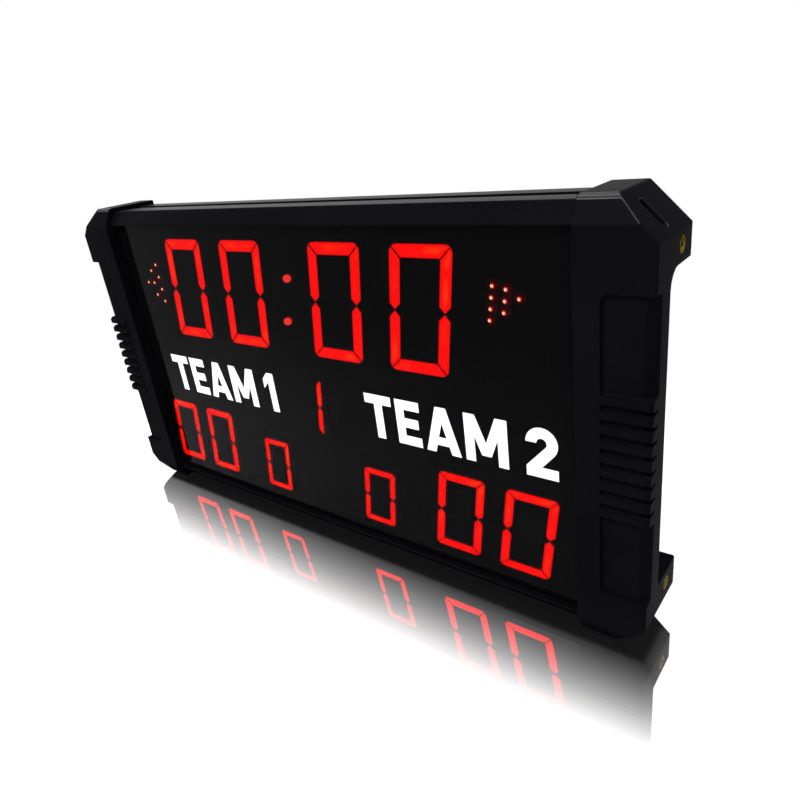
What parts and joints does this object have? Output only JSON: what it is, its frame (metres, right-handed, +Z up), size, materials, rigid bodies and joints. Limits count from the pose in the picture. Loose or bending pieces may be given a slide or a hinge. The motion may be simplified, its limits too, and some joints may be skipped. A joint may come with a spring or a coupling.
{
  "type": "electronic scoreboard",
  "caption": "Wide flat portable scoreboard: black rails, grip end caps, smoked window over red seven-segment clock, score, foul and period digits, rear switch and inlet.",
  "frame": {"origin": "middle of the standing surface, under the middle of the case", "axes": "+X to the right as seen from the front, +Y to the back, +Z up"},
  "size_m": [0.621, 0.0644, 0.326],
  "materials": {
    "cap_plastic": "fine-textured black moulding",
    "anodised_rail": "black anodised, satin",
    "smoked_window": "glossy smoked acrylic",
    "painted_sheet": "black powder coat",
    "module_plastic": "matt black display case",
    "red_lens": "lit red diffuser",
    "red_lamp": "clear red lamp body",
    "circuit_board": "solder-masked laminate",
    "nickel": "nickel plated",
    "brass": "turned brass",
    "black_steel": "black zinc plated",
    "black_plastic": "black moulding",
    "rocker_plastic": "satin black moulding"
  },
  "bodies": {
    "case": {"top_rail": "anodised_rail", "bottom_rail": "anodised_rail", "left_end_cap": "cap_plastic", "right_end_cap": "cap_plastic", "front_window": "smoked_window", "back_panel": "painted_sheet", "left_lower_insert": "brass", "left_lower_cap_screw": "black_steel", "left_lower_back_screw": "black_steel", "left_upper_insert": "brass", "left_upper_cap_screw": "black_steel", "left_upper_back_screw": "black_steel", "right_lower_insert": "brass", "right_lower_cap_screw": "black_steel", "right_lower_back_screw": "black_steel", "right_upper_insert": "brass", "right_upper_cap_screw": "black_steel", "right_upper_back_screw": "black_steel", "clock_digit_1_case": "module_plastic", "clock_digit_1_lens": "red_lens", "clock_digit_2_case": "module_plastic", "clock_digit_2_lens": "red_lens", "clock_digit_3_case": "module_plastic", "clock_digit_3_lens": "red_lens", "clock_digit_4_case": "module_plastic", "clock_digit_4_lens": "red_lens", "home_score_tens_case": "module_plastic", "home_score_tens_lens": "red_lens", "home_score_ones_case": "module_plastic", "home_score_ones_lens": "red_lens", "guest_score_tens_case": "module_plastic", "guest_score_tens_lens": "red_lens", "guest_score_ones_case": "module_plastic", "guest_score_ones_lens": "red_lens", "home_fouls_case": "module_plastic", "home_fouls_lens": "red_lens", "guest_fouls_case": "module_plastic", "guest_fouls_lens": "red_lens", "period_case": "module_plastic", "period_lens": "red_lens", "colon_lamp_lower": "red_lamp", "colon_lamp_upper": "red_lamp", "home_possession_lamps": "red_lamp", "guest_possession_lamps": "red_lamp", "clock_board": "circuit_board", "score_board": "circuit_board", "control_board": "circuit_board", "radio_board": "circuit_board", "clock_board_standoff_1": "nickel", "clock_board_standoff_2": "nickel", "clock_board_standoff_3": "nickel", "clock_board_standoff_4": "nickel", "score_board_standoff_1": "nickel", "score_board_standoff_2": "nickel", "score_board_standoff_3": "nickel", "score_board_standoff_4": "nickel", "horn": "black_plastic", "power_inlet": "black_plastic", "switch_housing": "black_plastic"},
    "rocker": {"switch_rocker": "rocker_plastic"}
  },
  "joints": [
    {"name": "power_switch", "type": "hinge", "parent": "case", "child": "rocker", "pos_m": [-0.205, 0.02755, 0.062], "axis": [1, 0, 0], "range_deg": [0, 20]}
  ]
}
